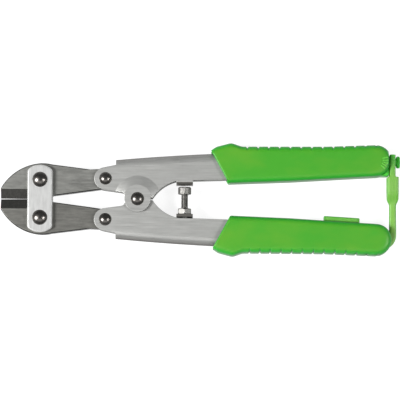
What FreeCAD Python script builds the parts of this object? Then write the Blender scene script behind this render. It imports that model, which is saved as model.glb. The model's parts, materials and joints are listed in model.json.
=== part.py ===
import FreeCAD, Part
import math
import os

# Small bolt cutters, lying flat on their back. Sizes are in millimetres.
# Every size and place below is measured from the centre pivot, in the plane half-way through the tool:
# +X runs from the jaws to the grips, +Y to the upper handle, and +Z is along the pivots, to the front.
# The whole tool is moved at the end, so that its box stands centred on the origin with its base at z = 0.
# The lower half is the upper half turned half a turn about X, apart from the pieces that only one half has.

# Pivots of the linkage
JAW_PIVOT_X = -52.5
JAW_PIVOT_Y = 10.25
TAIL_PIVOT_X = -17.3
TAIL_PIVOT_Y = 11.05

# Thickness of each layer, and the play between layers that slide on each other
BLADE_THICKNESS = 6.0
LINK_PLATE_THICKNESS = 2.5
SHEET_THICKNESS = 1.5
LAYER_PLAY = 0.1

# Fits
PIVOT_FIT = 0.05
OPEN_PIVOT_FIT = 0.2
SCREW_FIT = 0.05
SOFT_GAP = 0.35

# Blades, measured from the jaw pivot and the tail pivot
JAW_REACH = 21.2
JAW_NOSE_HEIGHT = 5.5
JAW_CROWN_RISE = 8.95
JAW_CROWN_SETBACK = 0.5
JAW_CURVE_ALONG = 0.36
JAW_CURVE_UP = 0.62
JAW_SHOULDER_LENGTH = 6.5
JAW_SHOULDER_RISE = 8.35
CUTTING_EDGE_SETBACK = 2.0
CLOSING_ANGLE = 0.46
CLOSED_EDGE_GAP = 0.02
BEVEL_WIDTH = 5.3
EDGE_LAND = 0.3
INNER_RELIEF_LENGTH = 7.5
INNER_RELIEF_Y = 1.8
TAIL_NECK_LENGTH = 8.1
TAIL_NECK_RISE = 4.95
TAIL_NECK_DROP = 6.65
TAIL_RADIUS = 5.4
TAIL_OUTER_ANGLE = 83.0
TAIL_INNER_ANGLE = 278.0
BLADE_EDGE_CHAMFER = 0.4

# Link plates
LINK_PLATE_WIDTH = 13.4
LINK_PLATE_HEIGHT = 36.2
LINK_PLATE_END_RISE = 2.6
LINK_PLATE_CORNER = 2.4
LINK_PLATE_CHAMFER = 0.5

# Rivets
JAW_RIVET_RADIUS = 3.0
JAW_RIVET_HEAD_RADIUS = 4.1
JAW_RIVET_DOME_HEIGHT = 2.0
TAIL_RIVET_RADIUS = 2.5
TAIL_RIVET_HEAD_RADIUS = 3.4
CENTRE_RIVET_RADIUS = 2.5
CENTRE_RIVET_HEAD_RADIUS = 3.6
SMALL_DOME_HEIGHT = 1.8
REAR_HEAD_HEIGHT = 1.2

# Handles
TAIL_EAR_RADIUS = 6.05
CENTRE_EAR_RADIUS = 7.1
EAR_TOP_ANGLE = 102.0
EAR_BOTTOM_ANGLE = 262.0
EAR_JOIN_ANGLE = 60.0
WEB_SETBACK = 5.6
WEB_FRONT_Y = 21.4
WEB_MIDDLE_X = 13.0
WEB_MIDDLE_Y = 23.4
WEB_STRAIGHT_X = 45.0
WEB_STRAIGHT_Y = 25.2
HANDLE_END_X = 131.0
WEB_END_Y = 26.6
INNER_EDGE_END_Y = 15.2
INNER_EDGE_MIDDLE_X = 45.0
INNER_EDGE_MIDDLE_Y = 10.7
INNER_EDGE_FRONT_X = 22.0
INNER_EDGE_FRONT_Y = 10.1
CROTCH_BEND_X = 13.2
CROTCH_BEND_Y = 6.1
CROTCH_X = 8.2
CROTCH_Y = 0.6
BEND_FLAT = 0.2
JOGGLE_EAR_GAP = 0.5
JOGGLE_RAMP = 5.0
EAR_CROTCH_FILLET = 2.0
HANDLE_END_CORNER = 4.0

# Stop tab, screw and lock nut
TAB_X = 25.4
TAB_WIDTH = 8.9
TAB_FACE_Y = 7.8
TAB_END_DROP = 0.5
TAB_BEND_RADIUS = 0.7
SCREW_RADIUS = 2.0
SCREW_LENGTH = 16.0
SCREW_HEAD_RADIUS = 3.5
SCREW_HEAD_HEIGHT = 4.0
SCREW_HEAD_GAP = 0.9
SCREW_HEAD_ROUNDING = 0.5
SOCKET_FLATS = 3.0
SOCKET_DEPTH = 2.0
NUT_FLATS = 7.0
NUT_HEIGHT = 3.0

# Spacer and spring on the centre rivet
SPACER_WALL = 0.75
SPRING_WIRE = 1.2
SPRING_PLAY = 0.7
SPRING_COIL_PLAY = 0.06
SPRING_SIDE_GAP = 0.375
SPRING_LEG_ANGLE = 54.0
SPRING_TIP_DROP = 2.75

# Grips: walls round the handle, and places along it
GRIP_BACK_DEPTH = 0.2
GRIP_FRONT_X = 39.3
GRIP_FRONT_SLANT = 9.7
GRIP_LIP = 1.4
GRIP_OUTER_WALL = 3.4
GRIP_INNER_WALL = 2.0
GRIP_INNER_RISE = 1.3
GRIP_INNER_MIDDLE_X = 82.5
GRIP_END_WALL = 2.8
GRIP_END_LIFT = 0.4
GRIP_END_SETBACK = 2.6
GRIP_END_INNER_ANGLE = -88.0
GRIP_END_OUTER_ANGLE = 95.0
GUARD_RISE_LENGTH = 2.8
GUARD_PEAK_LENGTH = 11.2
GUARD_FOOT_LENGTH = 16.7
GUARD_HEIGHT = 2.0
GRIP_SWELL_X = 102.0
GRIP_SWELL = 0.2
GRIP_FACE_ROUNDING = 3.2

# Strap lug and peg on the upper grip, and the keeper on the lower grip
LUG_OVERHANG = 4.4
LUG_LENGTH = 11.4
LUG_DROP = 2.1
LUG_RISE = 1.1
LUG_THICKNESS = 10.2
PEG_DROP = 0.4
PEG_RADIUS = 1.8
PEG_NECK_LENGTH = 4.1
PEG_NOSE_RADIUS = 3.0
PEG_NOSE_LENGTH = 2.2
KEEPER_SETBACK = 30.5
KEEPER_LENGTH = 19.2
KEEPER_HEIGHT = 2.6
KEEPER_ROOT = 1.5
KEEPER_THICKNESS = 6.4

# Strap
STRAP_BAR_WIDTH = 3.8
STRAP_BAR_THICKNESS = 4.0
STRAP_PAD_WIDTH = 6.2
STRAP_ROOT_DROP = 3.3
STRAP_TAPER_START_Y = -2.6
STRAP_PAD_START_Y = 0.7
STRAP_SPREAD_END_Y = 5.0
STRAP_TOP_BAR = 1.8
STRAP_LOOP_WIDTH = 3.4
STRAP_LOOP_WALL = 2.6
STRAP_SLOT_START_Y = 4.5

# Sizes that follow from those above
CHEEK_INNER_Z = BLADE_THICKNESS / 2 + LAYER_PLAY
CHEEK_OUTER_Z = CHEEK_INNER_Z + SHEET_THICKNESS
JOGGLE = SHEET_THICKNESS + LAYER_PLAY
EAR_OUTER_Z = CHEEK_OUTER_Z + JOGGLE
LINK_PLATE_OUTER_Z = CHEEK_INNER_Z + LINK_PLATE_THICKNESS
BEND_RADIUS = CHEEK_OUTER_Z - BEND_FLAT
JOGGLE_INNER_RADIUS = CENTRE_EAR_RADIUS + JOGGLE_EAR_GAP
JOGGLE_OUTER_RADIUS = JOGGLE_INNER_RADIUS + JOGGLE_RAMP
SPACER_RADIUS = CENTRE_RIVET_RADIUS + PIVOT_FIT + SPACER_WALL
SPRING_RADIUS = SPACER_RADIUS + SPRING_PLAY + SPRING_WIRE / 2
SPRING_HEIGHT = 2 * (CHEEK_INNER_Z - SPRING_SIDE_GAP) - SPRING_WIRE
JAW_TIP_X = JAW_PIVOT_X - JAW_REACH
JAW_BACK_X = JAW_PIVOT_X - JAW_CROWN_SETBACK
JAW_CROWN_Y = JAW_PIVOT_Y + JAW_CROWN_RISE
JAW_SHOULDER_X = JAW_PIVOT_X + JAW_SHOULDER_LENGTH
CUTTING_EDGE_END_X = JAW_PIVOT_X - CUTTING_EDGE_SETBACK
TAIL_NECK_X = TAIL_PIVOT_X - TAIL_NECK_LENGTH
WEB_FRONT_X = TAIL_PIVOT_X + WEB_SETBACK
TAB_REACH = CHEEK_INNER_Z + TAB_END_DROP
SCREW_HEAD_TOP_Y = TAB_FACE_Y - SCREW_HEAD_GAP
SCREW_HEAD_BASE_Y = SCREW_HEAD_TOP_Y - SCREW_HEAD_HEIGHT
GRIP_THICKNESS = 2 * (EAR_OUTER_Z + REAR_HEAD_HEIGHT + GRIP_BACK_DEPTH)
GRIP_OUTER_Y = WEB_STRAIGHT_Y + GRIP_OUTER_WALL
GRIP_INNER_FRONT_Y = INNER_EDGE_MIDDLE_Y - GRIP_INNER_WALL
GRIP_INNER_MIDDLE_Y = GRIP_INNER_FRONT_Y + GRIP_INNER_RISE
GRIP_END_ROUND_X = HANDLE_END_X - GRIP_END_SETBACK
GRIP_END_ROUND_Y = (WEB_END_Y + INNER_EDGE_END_Y) / 2 + GRIP_END_LIFT
GRIP_END_RADIUS = (WEB_END_Y - INNER_EDGE_END_Y) / 2 + GRIP_END_WALL
GRIP_END_INNER_Y = GRIP_END_ROUND_Y - GRIP_END_RADIUS
KEEPER_START_X = HANDLE_END_X - KEEPER_SETBACK
LUG_END_X = HANDLE_END_X + LUG_OVERHANG
LUG_INNER_Y = INNER_EDGE_END_Y - LUG_DROP
PEG_Y = GRIP_END_ROUND_Y - PEG_DROP
PEG_NECK_END_X = LUG_END_X + PEG_NECK_LENGTH
PEG_TIP_X = PEG_NECK_END_X + PEG_NOSE_LENGTH
STRAP_INNER_X = LUG_END_X + SOFT_GAP
STRAP_PAD_TOP_Y = LUG_INNER_Y - SOFT_GAP
STRAP_SLOT_END_Y = PEG_Y + PEG_RADIUS + SOFT_GAP
STRAP_SLOT_WIDTH = 2 * (PEG_RADIUS + 2 * SOFT_GAP)
STRAP_LOOP_THICKNESS = STRAP_SLOT_WIDTH + 2 * STRAP_LOOP_WALL
STRAP_ROOT_Y = -(GRIP_END_ROUND_Y + STRAP_ROOT_DROP)
STRAP_CENTRE_X = STRAP_INNER_X + STRAP_BAR_WIDTH / 2

FAR = 400.0
TOUCH = 0.01
TO_FRAME = FreeCAD.Vector(-(JAW_TIP_X + PEG_TIP_X) / 2, 0, GRIP_THICKNESS / 2)
X_AXIS = FreeCAD.Vector(1, 0, 0)
Y_AXIS = FreeCAD.Vector(0, 1, 0)
Z_AXIS = FreeCAD.Vector(0, 0, 1)


def point(x, y, z=0.0):
    return FreeCAD.Vector(x, y, z)


def outline(start, *steps):
    """A closed wire in the XY plane. A step is an end point, or a through point and an end point."""
    edges = []
    here = start
    for step in list(steps) + [start]:
        if isinstance(step[0], tuple):
            through, end = step
            edges.append(Part.Arc(point(*here), point(*through), point(*end)).toShape())
        else:
            end = step
            edges.append(Part.LineSegment(point(*here), point(*end)).toShape())
        here = end
    return Part.Wire(edges)


def slab(wire, low_z, high_z):
    """The wire's area, from one height to the other."""
    face = Part.Face(wire)
    face.translate(point(0, 0, low_z))
    return face.extrude(point(0, 0, high_z - low_z))


def box(low_x, high_x, low_y, high_y, low_z, high_z):
    return Part.makeBox(high_x - low_x, high_y - low_y, high_z - low_z, point(low_x, low_y, low_z))


def upright(x, y, radius, low_z, high_z):
    """A cylinder along Z."""
    return Part.makeCylinder(radius, high_z - low_z, point(x, y, low_z))


def on_circle(centre_x, centre_y, radius, degrees):
    angle = math.radians(degrees)
    return (centre_x + radius * math.cos(angle), centre_y + radius * math.sin(angle))


def other_half(shape):
    """The shape turned half a turn about X, to the other handle."""
    turned = shape.copy()
    turned.rotate(point(0, 0), X_AXIS, 180)
    return turned


def edges_where(shape, test):
    return [edge for edge in shape.Edges if test(edge)]


def cutting_edge_y(x):
    """The cutting edge's height when the jaws are a little open: it closes flat on the other blade."""
    return CLOSED_EDGE_GAP + math.tan(math.radians(CLOSING_ANGLE)) * (JAW_PIVOT_X - x)


def bevel_cutter():
    """What is ground off one side of a cutting edge, as a prism along X."""
    land = EDGE_LAND / 2
    half = BLADE_THICKNESS / 2
    beyond = BEVEL_WIDTH
    slope = (half - land) / BEVEL_WIDTH
    profile = Part.makePolygon([
        point(JAW_TIP_X - beyond, BEVEL_WIDTH, half),
        point(JAW_TIP_X - beyond, -beyond, land - slope * beyond),
        point(JAW_TIP_X - beyond, -beyond, half + beyond),
        point(JAW_TIP_X - beyond, BEVEL_WIDTH, half + beyond),
        point(JAW_TIP_X - beyond, BEVEL_WIDTH, half)])
    length = CUTTING_EDGE_END_X - JAW_TIP_X + beyond
    return Part.Face(profile).extrude(point(length, 0, 0))


def inner_edge_cutter(start, end):
    """The chamfer along a blade's straight inner edge, as a prism from one point to the other."""
    half = BLADE_THICKNESS / 2
    beyond = BLADE_EDGE_CHAMFER
    run = point(*end) - point(*start)
    inward = Z_AXIS.cross(run)
    inward.normalize()
    corner = point(*start)

    def at(depth, z):
        return corner + inward * depth + Z_AXIS * z

    high = at(BLADE_EDGE_CHAMFER + beyond, half + beyond)
    profile = Part.makePolygon([
        high, at(-beyond, half - BLADE_EDGE_CHAMFER - beyond), at(-beyond, half + beyond), high])
    return Part.Face(profile).extrude(run)


def upper_blade():
    half = BLADE_THICKNESS / 2
    tip_y = cutting_edge_y(JAW_TIP_X)
    nose = (JAW_TIP_X, tip_y + JAW_NOSE_HEIGHT)
    shoulder = (JAW_SHOULDER_X, JAW_PIVOT_Y + JAW_SHOULDER_RISE)
    relief = (JAW_PIVOT_X + INNER_RELIEF_LENGTH, INNER_RELIEF_Y)
    neck_outer = (TAIL_NECK_X, TAIL_PIVOT_Y + TAIL_NECK_RISE)
    neck_inner = (TAIL_NECK_X, TAIL_PIVOT_Y - TAIL_NECK_DROP)
    tail_outer = on_circle(TAIL_PIVOT_X, TAIL_PIVOT_Y, TAIL_RADIUS, TAIL_OUTER_ANGLE)
    tail_end = (TAIL_PIVOT_X + TAIL_RADIUS, TAIL_PIVOT_Y)
    tail_inner = on_circle(TAIL_PIVOT_X, TAIL_PIVOT_Y, TAIL_RADIUS, TAIL_INNER_ANGLE)
    jaw_curve = (
        JAW_TIP_X + JAW_CURVE_ALONG * (JAW_BACK_X - JAW_TIP_X),
        nose[1] + JAW_CURVE_UP * (JAW_CROWN_Y - nose[1]))
    body = slab(
        outline(
            (JAW_TIP_X, tip_y),
            (CUTTING_EDGE_END_X, cutting_edge_y(CUTTING_EDGE_END_X)),
            relief,
            neck_inner,
            tail_inner,
            (tail_end, tail_outer),
            neck_outer,
            shoulder,
            (((JAW_BACK_X + JAW_SHOULDER_X) / 2, JAW_CROWN_Y), (JAW_BACK_X, JAW_CROWN_Y)),
            (jaw_curve, nose)),
        -half, half)
    outer_rim = edges_where(body, lambda edge: (
        edge.BoundBox.ZLength < TOUCH and edge.BoundBox.YMin > JAW_NOSE_HEIGHT / 2
        and edge.BoundBox.XMax < TAIL_NECK_X + TOUCH and edge.BoundBox.YMax > neck_outer[1] - TOUCH))
    body = body.makeChamfer(BLADE_EDGE_CHAMFER, outer_rim)
    for cutter in (bevel_cutter(), inner_edge_cutter(relief, tail_inner)):
        body = body.cut(cutter)
        body = body.cut(cutter.mirror(point(0, 0), Z_AXIS))
    jaw_bore = upright(JAW_PIVOT_X, JAW_PIVOT_Y, JAW_RIVET_RADIUS + PIVOT_FIT, -half, half)
    tail_bore = upright(TAIL_PIVOT_X, TAIL_PIVOT_Y, TAIL_RIVET_RADIUS + PIVOT_FIT, -half, half)
    return body.cut(jaw_bore).cut(tail_bore)


def link_plate():
    """The front plate. Its ends are flat arcs between rounded corners."""
    left = JAW_PIVOT_X - LINK_PLATE_WIDTH / 2
    right = JAW_PIVOT_X + LINK_PLATE_WIDTH / 2
    top = LINK_PLATE_HEIGHT / 2
    side = top - LINK_PLATE_END_RISE
    plate = slab(
        outline(
            (left, -side), ((JAW_PIVOT_X, -top), (right, -side)),
            (right, side), ((JAW_PIVOT_X, top), (left, side))),
        CHEEK_INNER_Z, LINK_PLATE_OUTER_Z)
    corners = edges_where(plate, lambda edge: edge.BoundBox.ZLength > LINK_PLATE_THICKNESS / 2)
    plate = plate.makeFillet(LINK_PLATE_CORNER, corners)
    rim = edges_where(plate, lambda edge: edge.BoundBox.ZMin > LINK_PLATE_OUTER_Z - TOUCH)
    plate = plate.makeChamfer(LINK_PLATE_CHAMFER, rim)
    for side_y in (JAW_PIVOT_Y, -JAW_PIVOT_Y):
        plate = plate.cut(upright(JAW_PIVOT_X, side_y, JAW_RIVET_RADIUS, CHEEK_INNER_Z, LINK_PLATE_OUTER_Z))
    return plate


def dome(x, y, radius, height, base_z):
    """A spherical cap that stands on the plane at base_z."""
    sphere_radius = (radius ** 2 + height ** 2) / (2 * height)
    ball = Part.makeSphere(sphere_radius, point(x, y, base_z + height - sphere_radius))
    return ball.common(upright(x, y, radius, base_z, base_z + height))


def rivet(x, y, shank_radius, head_radius, dome_height, stack_z):
    """A rivet through a stack that reaches stack_z to each side."""
    shank = upright(x, y, shank_radius, -stack_z, stack_z)
    front_head = dome(x, y, head_radius, dome_height, stack_z)
    rear_head = dome(x, -y, head_radius, REAR_HEAD_HEIGHT, stack_z)
    return shank.fuse(front_head).fuse(other_half(rear_head))


def web_curve(depth):
    """Start, through point, straight start and end of a curve that lies depth inside the web's back."""
    return (
        (WEB_FRONT_X, WEB_FRONT_Y - depth),
        (WEB_MIDDLE_X, WEB_MIDDLE_Y - depth),
        (WEB_STRAIGHT_X, WEB_STRAIGHT_Y - depth),
        (HANDLE_END_X, WEB_END_Y - depth))


def cheek_wire():
    """Outline of a handle seen from the front: its two ears, its back and its inner edge."""
    ear_top = on_circle(TAIL_PIVOT_X, TAIL_PIVOT_Y, TAIL_EAR_RADIUS, EAR_TOP_ANGLE)
    ear_left = (TAIL_PIVOT_X - TAIL_EAR_RADIUS, TAIL_PIVOT_Y)
    ear_bottom = on_circle(TAIL_PIVOT_X, TAIL_PIVOT_Y, TAIL_EAR_RADIUS, EAR_BOTTOM_ANGLE)
    top_slope = math.tan(math.radians(EAR_TOP_ANGLE - 90))
    bottom_slope = math.tan(math.radians(EAR_BOTTOM_ANGLE - 270))
    shoulder = (WEB_FRONT_X, ear_top[1] + top_slope * (WEB_FRONT_X - ear_top[0]))
    ear_join_x = -CENTRE_EAR_RADIUS * math.cos(math.radians(EAR_JOIN_ANGLE))
    ear_join = (ear_join_x, ear_bottom[1] + bottom_slope * (ear_join_x - ear_bottom[0]))
    web_start, web_middle, web_straight, web_end = web_curve(0)
    return outline(
        shoulder, ear_top, (ear_left, ear_bottom), ear_join, (0, 0), (CROTCH_X, CROTCH_Y),
        ((CROTCH_BEND_X, CROTCH_BEND_Y), (INNER_EDGE_FRONT_X, INNER_EDGE_FRONT_Y)),
        (INNER_EDGE_MIDDLE_X, INNER_EDGE_MIDDLE_Y), (HANDLE_END_X, INNER_EDGE_END_Y),
        web_end, web_straight, (web_middle, web_start))


def cheek_block(low_z, high_z):
    """The handle's outline through a height, with the centre ear and its rounded crotch."""
    block = slab(cheek_wire(), low_z, high_z)
    block = block.fuse(upright(0, 0, CENTRE_EAR_RADIUS, low_z, high_z)).removeSplitter()
    reach = CENTRE_EAR_RADIUS + 1
    crotch = edges_where(block, lambda edge: (
        edge.BoundBox.ZLength > (high_z - low_z) / 2
        and edge.BoundBox.XMax < -CENTRE_EAR_RADIUS / 2
        and edge.BoundBox.XMin > -reach))
    return block.makeFillet(EAR_CROTCH_FILLET, crotch)


def handle_envelope():
    """The handle as a solid bar, with the sheet's outer bends along its back."""
    block = cheek_block(-CHEEK_OUTER_Z, CHEEK_OUTER_Z)
    back_limit_y = WEB_FRONT_Y - TOUCH
    back = edges_where(block, lambda edge: (
        edge.BoundBox.ZLength < TOUCH
        and edge.BoundBox.YMin > back_limit_y
        and edge.BoundBox.XLength > HANDLE_END_X / 4))
    return block.makeFillet(BEND_RADIUS, back)


def channel_cavity():
    """The space between the cheeks, open everywhere except towards the web."""
    web_start, web_middle, web_straight, web_end = web_curve(SHEET_THICKNESS)
    beyond_end = (HANDLE_END_X + BEND_RADIUS, web_end[1])
    low_y = -2 * CENTRE_EAR_RADIUS
    cavity = slab(
        outline(
            (WEB_FRONT_X, low_y), (beyond_end[0], low_y), beyond_end, web_end, web_straight,
            (web_middle, web_start)),
        -CHEEK_INNER_Z, CHEEK_INNER_Z)
    top_limit_y = WEB_FRONT_Y - SHEET_THICKNESS - TOUCH
    top = edges_where(cavity, lambda edge: (
        edge.BoundBox.ZLength < TOUCH and edge.BoundBox.YMin > top_limit_y))
    cavity = cavity.makeFillet(BEND_RADIUS - SHEET_THICKNESS, top)
    front = box(
        TAIL_PIVOT_X - 2 * TAIL_EAR_RADIUS, WEB_FRONT_X, low_y, WEB_FRONT_Y + BEND_RADIUS,
        -CHEEK_INNER_Z, CHEEK_INNER_Z)
    return cavity.fuse(front)


def joggled_ear():
    """The front cheek round the centre pivot, dished forwards over the other handle's flat cheek."""
    profile = Part.makePolygon([
        point(0, 0, EAR_OUTER_Z),
        point(JOGGLE_INNER_RADIUS, 0, EAR_OUTER_Z),
        point(JOGGLE_OUTER_RADIUS, 0, CHEEK_OUTER_Z),
        point(JOGGLE_OUTER_RADIUS, 0, CHEEK_INNER_Z),
        point(JOGGLE_INNER_RADIUS, 0, CHEEK_INNER_Z + JOGGLE),
        point(0, 0, CHEEK_INNER_Z + JOGGLE),
        point(0, 0, EAR_OUTER_Z)])
    dish = Part.Face(profile).revolve(point(0, 0), Z_AXIS, 360)
    return dish.common(cheek_block(CHEEK_INNER_Z, EAR_OUTER_Z))


def stop_tab():
    """The tab that is bent in from the front cheek's inner edge, with its screw hole."""
    inner_y = TAB_FACE_Y + SHEET_THICKNESS
    root_y = INNER_EDGE_FRONT_Y + SHEET_THICKNESS
    outer_bend = TAB_BEND_RADIUS + SHEET_THICKNESS
    diagonal = math.sqrt(0.5)
    centre_y = TAB_FACE_Y + outer_bend
    centre_z = CHEEK_OUTER_Z - outer_bend
    low_x = TAB_X - TAB_WIDTH / 2

    def at(y, z):
        return point(low_x, y, z)

    def bend(radius):
        return Part.Arc(
            at(centre_y, centre_z + radius),
            at(centre_y - radius * diagonal, centre_z + radius * diagonal),
            at(centre_y - radius, centre_z)).toShape()

    wire = Part.Wire([
        Part.LineSegment(at(root_y, CHEEK_OUTER_Z), at(centre_y, CHEEK_OUTER_Z)).toShape(),
        bend(outer_bend),
        Part.LineSegment(at(TAB_FACE_Y, centre_z), at(TAB_FACE_Y, -TAB_REACH)).toShape(),
        Part.LineSegment(at(TAB_FACE_Y, -TAB_REACH), at(inner_y, -TAB_REACH)).toShape(),
        Part.LineSegment(at(inner_y, -TAB_REACH), at(inner_y, centre_z)).toShape(),
        bend(TAB_BEND_RADIUS),
        Part.LineSegment(at(centre_y, CHEEK_INNER_Z), at(root_y, CHEEK_INNER_Z)).toShape(),
        Part.LineSegment(at(root_y, CHEEK_INNER_Z), at(root_y, CHEEK_OUTER_Z)).toShape()])
    tab = Part.Face(wire).extrude(point(TAB_WIDTH, 0, 0))
    hole = Part.makeCylinder(SCREW_RADIUS + SCREW_FIT, SHEET_THICKNESS, point(TAB_X, TAB_FACE_Y), Y_AXIS)
    return tab.cut(hole)


def handle(centre_hole_radius):
    """One pressed sheet handle: a channel with its web at the back, two ears to a cheek and a stop tab."""
    body = handle_envelope().cut(channel_cavity())
    body = body.cut(upright(0, 0, JOGGLE_OUTER_RADIUS, CHEEK_INNER_Z, CHEEK_OUTER_Z))
    body = body.fuse(joggled_ear()).fuse(stop_tab())
    body = body.cut(upright(TAIL_PIVOT_X, TAIL_PIVOT_Y, TAIL_RIVET_RADIUS, -CHEEK_OUTER_Z, CHEEK_OUTER_Z))
    body = body.cut(upright(0, 0, centre_hole_radius, -CHEEK_OUTER_Z, EAR_OUTER_Z))
    return body.removeSplitter()


def centre_spacer():
    """A sleeve that keeps the cheeks apart. It rests on the upper handle's rear cheek."""
    low_z = -CHEEK_INNER_Z
    high_z = CHEEK_INNER_Z - LAYER_PLAY
    sleeve = upright(0, 0, SPACER_RADIUS, low_z, high_z)
    return sleeve.cut(upright(0, 0, CENTRE_RIVET_RADIUS + PIVOT_FIT, low_z, high_z))


def opening_spring():
    """A wire torsion spring round the spacer, with one leg in each handle's channel."""
    part_turn = (90 - SPRING_LEG_ANGLE) / 180
    whole_turns = math.floor(SPRING_HEIGHT / (SPRING_WIRE + SPRING_COIL_PLAY) - part_turn)
    start_angle = 90 + SPRING_LEG_ANGLE
    coil = Part.makeHelix(SPRING_HEIGHT / (whole_turns + part_turn), SPRING_HEIGHT, SPRING_RADIUS)
    coil.rotate(point(0, 0), Z_AXIS, start_angle)
    coil.translate(point(0, 0, -SPRING_HEIGHT / 2))
    start_x, start_y = on_circle(0, 0, SPRING_RADIUS, start_angle)
    leg_y = WEB_MIDDLE_Y - SHEET_THICKNESS - SPRING_TIP_DROP
    leg_x = start_x + (leg_y - start_y) / math.tan(math.radians(SPRING_LEG_ANGLE))
    coil_start = coil.Edges[0].Vertexes[0].Point
    coil_end = coil.Edges[0].Vertexes[-1].Point
    first_tip = point(leg_x, leg_y, -SPRING_HEIGHT / 2)
    last_tip = point(leg_x, -leg_y, SPRING_HEIGHT / 2)
    first_leg = Part.LineSegment(first_tip, coil_start).toShape()
    last_leg = Part.LineSegment(coil_end, last_tip).toShape()
    path = Part.Wire([first_leg] + coil.Edges + [last_leg])
    section = Part.Wire([Part.makeCircle(SPRING_WIRE / 2, first_tip, coil_start - first_tip)])
    return path.makePipeShell([section], True, True)


def hexagon(across_flats, centre_x, centre_y):
    """A hexagon in the XZ plane, with a corner to the front."""
    radius = across_flats / math.sqrt(3)
    corners = []
    for index in range(7):
        angle = math.radians(90 + 60 * index)
        corners.append(point(centre_x + radius * math.cos(angle), centre_y, radius * math.sin(angle)))
    return Part.Face(Part.makePolygon(corners))


def stop_screw():
    """The stop screw: a socket head towards the upper tab and a shank through the lower one."""
    shank = Part.makeCylinder(SCREW_RADIUS, SCREW_LENGTH, point(TAB_X, SCREW_HEAD_BASE_Y), -Y_AXIS)
    head = Part.makeCylinder(SCREW_HEAD_RADIUS, SCREW_HEAD_HEIGHT, point(TAB_X, SCREW_HEAD_BASE_Y), Y_AXIS)
    top = edges_where(head, lambda edge: edge.BoundBox.YMin > SCREW_HEAD_TOP_Y - TOUCH)
    head = head.makeFillet(SCREW_HEAD_ROUNDING, top)
    socket = hexagon(SOCKET_FLATS, TAB_X, SCREW_HEAD_TOP_Y - SOCKET_DEPTH).extrude(point(0, SOCKET_DEPTH, 0))
    return head.cut(socket).fuse(shank)


def lock_nut():
    """The nut stands on the lower handle's tab."""
    nut = hexagon(NUT_FLATS, TAB_X, -TAB_FACE_Y).extrude(point(0, NUT_HEIGHT, 0))
    bore = Part.makeCylinder(SCREW_RADIUS + SCREW_FIT, NUT_HEIGHT, point(TAB_X, -TAB_FACE_Y), Y_AXIS)
    return nut.cut(bore)


def grip_wire():
    """Outline of a grip: slanted front, guard bump, nearly straight sides and a round end."""
    end_inner = on_circle(GRIP_END_ROUND_X, GRIP_END_ROUND_Y, GRIP_END_RADIUS, GRIP_END_INNER_ANGLE)
    end_tip = (GRIP_END_ROUND_X + GRIP_END_RADIUS, GRIP_END_ROUND_Y)
    end_outer = on_circle(GRIP_END_ROUND_X, GRIP_END_ROUND_Y, GRIP_END_RADIUS, GRIP_END_OUTER_ANGLE)
    return outline(
        (GRIP_FRONT_X, WEB_STRAIGHT_Y + GRIP_LIP),
        (GRIP_FRONT_X + GRIP_FRONT_SLANT, GRIP_INNER_FRONT_Y),
        (GRIP_INNER_MIDDLE_X, GRIP_INNER_MIDDLE_Y),
        end_inner,
        (end_tip, end_outer),
        (GRIP_SWELL_X, GRIP_OUTER_Y + GRIP_SWELL),
        (GRIP_FRONT_X + GUARD_FOOT_LENGTH, GRIP_OUTER_Y),
        (GRIP_FRONT_X + GUARD_PEAK_LENGTH, GRIP_OUTER_Y + GUARD_HEIGHT),
        (GRIP_FRONT_X + GUARD_RISE_LENGTH, GRIP_OUTER_Y - GRIP_SWELL))


def grip():
    """The sleeve that both grips share: a rounded bar round the handle's end."""
    half = GRIP_THICKNESS / 2
    body = slab(grip_wire(), -half, half)
    long_edges = edges_where(body, lambda edge: (
        edge.BoundBox.ZLength < TOUCH and edge.BoundBox.XMin > GRIP_FRONT_X + GRIP_FRONT_SLANT - TOUCH
        and edge.BoundBox.XLength > GRIP_END_RADIUS / 2))
    body = body.makeFillet(GRIP_FACE_ROUNDING, long_edges)
    return body.cut(handle_envelope())


def upper_grip():
    """The grip, cut flat at its end, with the lug and the peg that the strap hooks over."""
    lug_half = LUG_THICKNESS / 2
    lug = box(
        LUG_END_X - LUG_LENGTH, LUG_END_X, LUG_INNER_Y, WEB_END_Y - LUG_RISE, -lug_half, lug_half)
    end_space = box(LUG_END_X, LUG_END_X + GRIP_END_RADIUS, 0, FAR, -GRIP_THICKNESS, GRIP_THICKNESS)
    peg = Part.makeCylinder(PEG_RADIUS, PEG_NECK_END_X - LUG_END_X, point(LUG_END_X, PEG_Y), X_AXIS)
    nose = Part.makeCylinder(PEG_NOSE_RADIUS, PEG_NOSE_LENGTH, point(PEG_NECK_END_X, PEG_Y), X_AXIS)
    nose = nose.common(box(0, FAR, 0, FAR, -PEG_RADIUS, PEG_RADIUS))
    body = grip().cut(end_space).fuse(lug.cut(handle_envelope()))
    return body.fuse(peg).fuse(nose)


def grip_inner_y(x):
    """The grip's straight inner side, between its middle and its end."""
    rise = (GRIP_END_INNER_Y - GRIP_INNER_MIDDLE_Y) / (GRIP_END_ROUND_X - GRIP_INNER_MIDDLE_X)
    return GRIP_INNER_MIDDLE_Y + rise * (x - GRIP_INNER_MIDDLE_X)


def lower_grip():
    """The grip with the keeper block along its inner side."""
    half = KEEPER_THICKNESS / 2
    end_x = KEEPER_START_X + KEEPER_LENGTH
    start_y = grip_inner_y(KEEPER_START_X)
    end_y = grip_inner_y(end_x)
    keeper = slab(
        outline(
            (KEEPER_START_X, start_y - KEEPER_HEIGHT), (end_x, end_y - KEEPER_HEIGHT),
            (end_x, end_y + KEEPER_ROOT), (KEEPER_START_X, start_y + KEEPER_ROOT)),
        -half, half)
    return other_half(grip().fuse(keeper.cut(handle_envelope())))


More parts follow.
